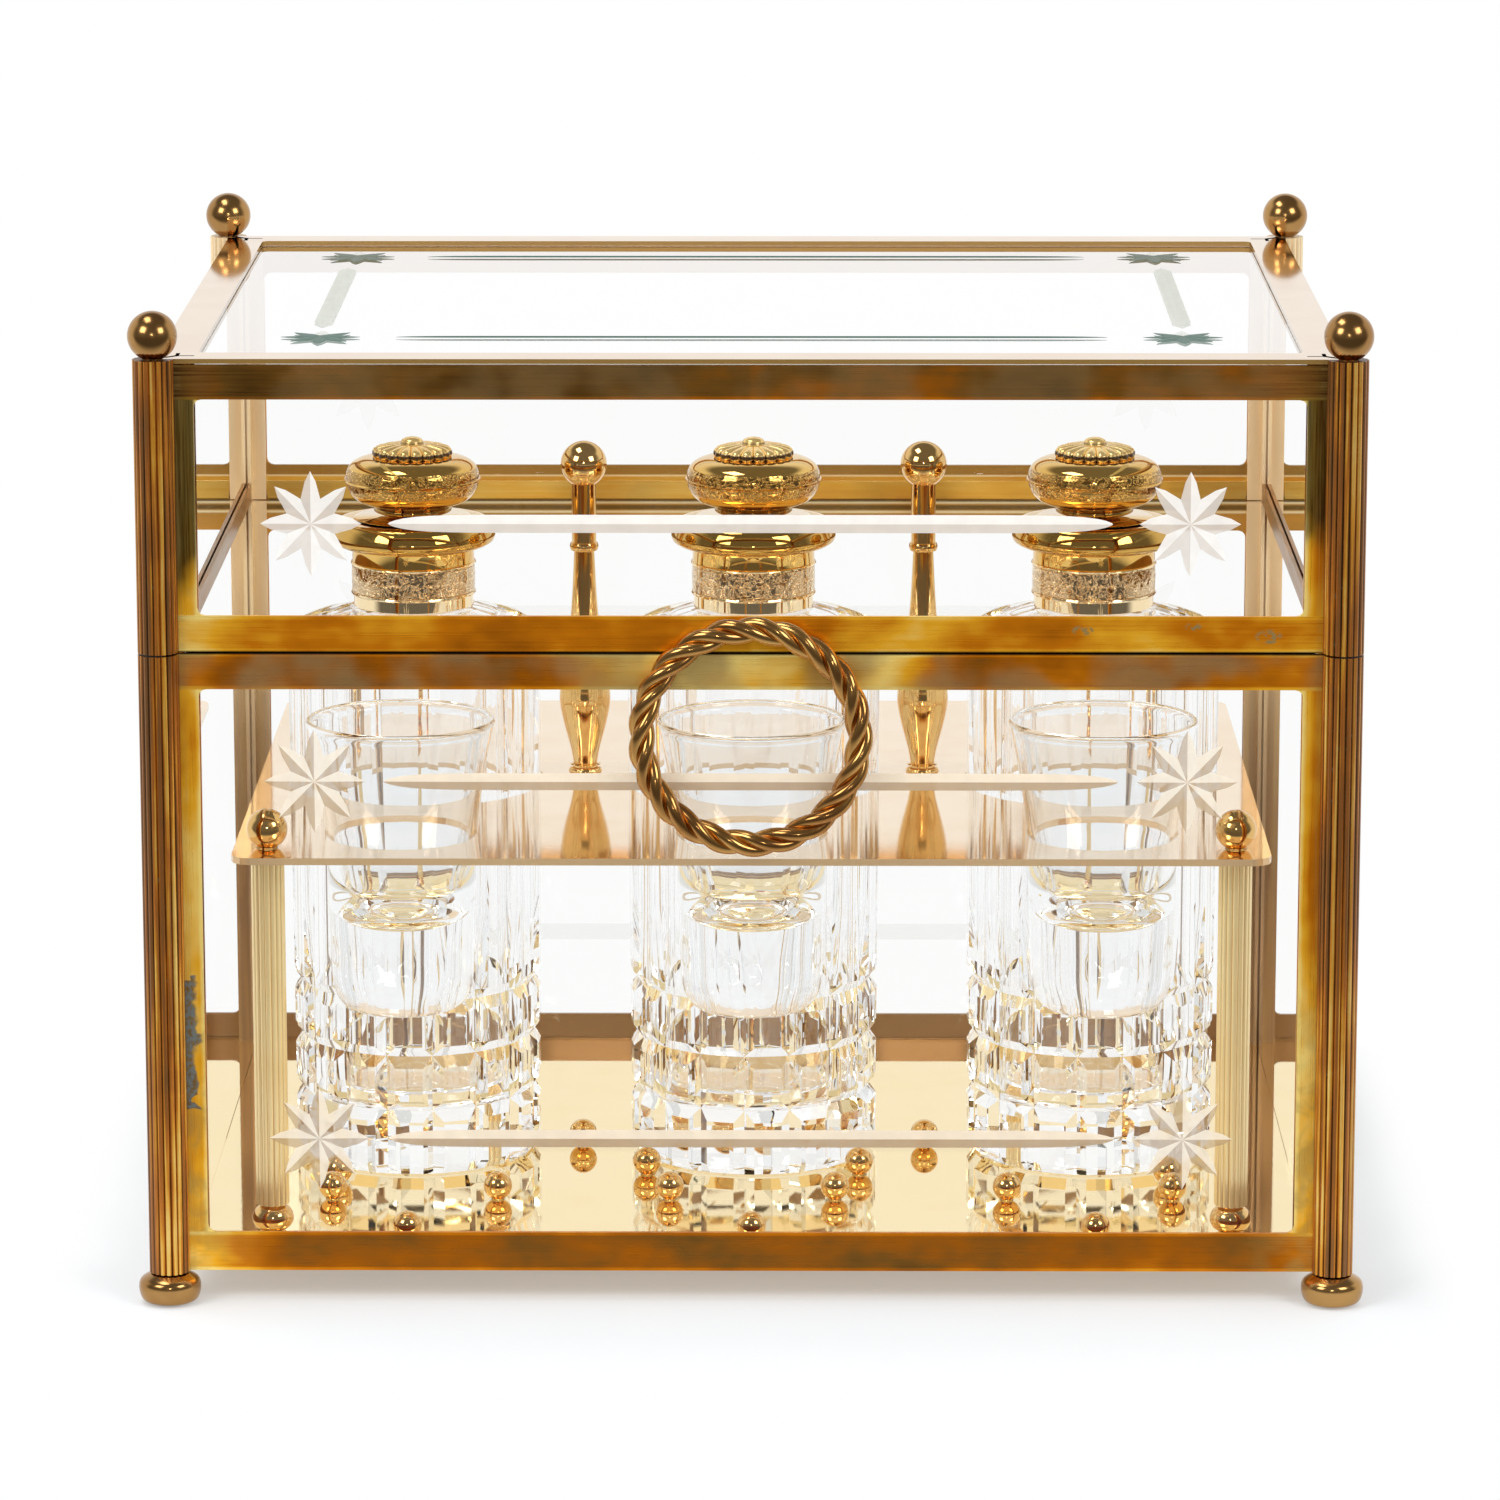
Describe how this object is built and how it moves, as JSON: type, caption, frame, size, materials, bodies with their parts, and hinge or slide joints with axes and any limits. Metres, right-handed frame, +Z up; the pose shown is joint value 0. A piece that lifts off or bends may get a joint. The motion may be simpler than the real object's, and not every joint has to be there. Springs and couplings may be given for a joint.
{
  "type": "liqueur case",
  "caption": "Glazed brass box with ball feet, reeded corner posts, a hinged lid with a twisted ring, and a lift-out rack for decanters and shot glasses.",
  "frame": {"origin": "middle of the case's footprint, at the level of the feet's undersides", "axes": "+Z up, -Y towards the front with the ring, +X to the right as seen from the front"},
  "size_m": [0.316, 0.2459, 0.258],
  "materials": {
    "aged_brass": "old brass, hand polished, browned in the hollows",
    "polished_brass": "bright polished brass",
    "gilding": "gilded brass, polished, with engraved bands",
    "clear_glass": "clear glass, cut and polished",
    "gold_mirror": "mirror with a pale gold tint"
  },
  "bodies": {
    "case": {"foot_front_left": "aged_brass", "body_post_front_left": "aged_brass", "foot_front_right": "aged_brass", "body_post_front_right": "aged_brass", "foot_back_right": "aged_brass", "body_post_back_right": "aged_brass", "foot_back_left": "aged_brass", "body_post_back_left": "aged_brass", "body_frame_front": "aged_brass", "body_pane_front": "clear_glass", "body_frame_right": "aged_brass", "body_pane_right": "clear_glass", "body_frame_back": "aged_brass", "body_pane_back": "clear_glass", "body_frame_left": "aged_brass", "body_pane_left": "clear_glass", "base_plate": "polished_brass", "base_mirror": "gold_mirror", "hinge_body_leaf_left": "aged_brass", "hinge_body_leaf_right": "aged_brass"},
    "lid": {"lid_post_front_left": "aged_brass", "finial_front_left": "aged_brass", "lid_post_front_right": "aged_brass", "finial_front_right": "aged_brass", "lid_post_back_right": "aged_brass", "finial_back_right": "aged_brass", "lid_post_back_left": "aged_brass", "finial_back_left": "aged_brass", "lid_frame_front": "aged_brass", "lid_pane_front": "clear_glass", "lid_frame_right": "aged_brass", "lid_pane_right": "clear_glass", "lid_frame_back": "aged_brass", "lid_pane_back": "clear_glass", "lid_frame_left": "aged_brass", "lid_pane_left": "clear_glass", "lid_frame_top": "polished_brass", "lid_pane_top": "clear_glass", "ring_handle": "aged_brass", "hinge_lid_leaf_left": "aged_brass", "hinge_lid_leaf_right": "aged_brass"},
    "rack": {"rack_plate": "polished_brass", "rack_column_front_left": "polished_brass", "rack_column_front_right": "polished_brass", "rack_column_back_right": "polished_brass", "rack_column_back_left": "polished_brass", "lifting_rod_left": "polished_brass", "lifting_rod_right": "polished_brass"},
    "decanter_left_set": {"decanter_left": "clear_glass", "collar_left": "gilding"},
    "stopper_left_set": {"stopper_left": "gilding"},
    "shot_glass_left_set": {"shot_glass_left": "clear_glass"},
    "decanter_middle_set": {"decanter_middle": "clear_glass", "collar_middle": "gilding"},
    "stopper_middle_set": {"stopper_middle": "gilding"},
    "shot_glass_middle_set": {"shot_glass_middle": "clear_glass"},
    "decanter_right_set": {"decanter_right": "clear_glass", "collar_right": "gilding"},
    "stopper_right_set": {"stopper_right": "gilding"},
    "shot_glass_right_set": {"shot_glass_right": "clear_glass"}
  },
  "joints": [
    {"name": "lid_hinge", "type": "hinge", "parent": "case", "child": "lid", "pos_m": [0, 0.1207, 0.17065], "axis": [-1, 0, 0], "range_deg": [0, 100]},
    {"name": "rack_lift", "type": "slide", "parent": "case", "child": "rack", "axis": [0, 0, 1], "range_m": [0, 0.033]},
    {"name": "decanter_left_lift", "type": "slide", "parent": "case", "child": "decanter_left_set", "axis": [0, 0, 1], "range_m": [0, 0.033]},
    {"name": "decanter_middle_lift", "type": "slide", "parent": "case", "child": "decanter_middle_set", "axis": [0, 0, 1], "range_m": [0, 0.033]},
    {"name": "decanter_right_lift", "type": "slide", "parent": "case", "child": "decanter_right_set", "axis": [0, 0, 1], "range_m": [0, 0.033]},
    {"name": "stopper_left_lift", "type": "slide", "parent": "decanter_left_set", "child": "stopper_left_set", "axis": [0, 0, 1], "range_m": [0, 0.03]},
    {"name": "stopper_middle_lift", "type": "slide", "parent": "decanter_middle_set", "child": "stopper_middle_set", "axis": [0, 0, 1], "range_m": [0, 0.03]},
    {"name": "stopper_right_lift", "type": "slide", "parent": "decanter_right_set", "child": "stopper_right_set", "axis": [0, 0, 1], "range_m": [0, 0.03]},
    {"name": "shot_glass_left_lift", "type": "slide", "parent": "rack", "child": "shot_glass_left_set", "axis": [0, 0, 1], "range_m": [0, 0.06]},
    {"name": "shot_glass_middle_lift", "type": "slide", "parent": "rack", "child": "shot_glass_middle_set", "axis": [0, 0, 1], "range_m": [0, 0.06]},
    {"name": "shot_glass_right_lift", "type": "slide", "parent": "rack", "child": "shot_glass_right_set", "axis": [0, 0, 1], "range_m": [0, 0.06]}
  ]
}
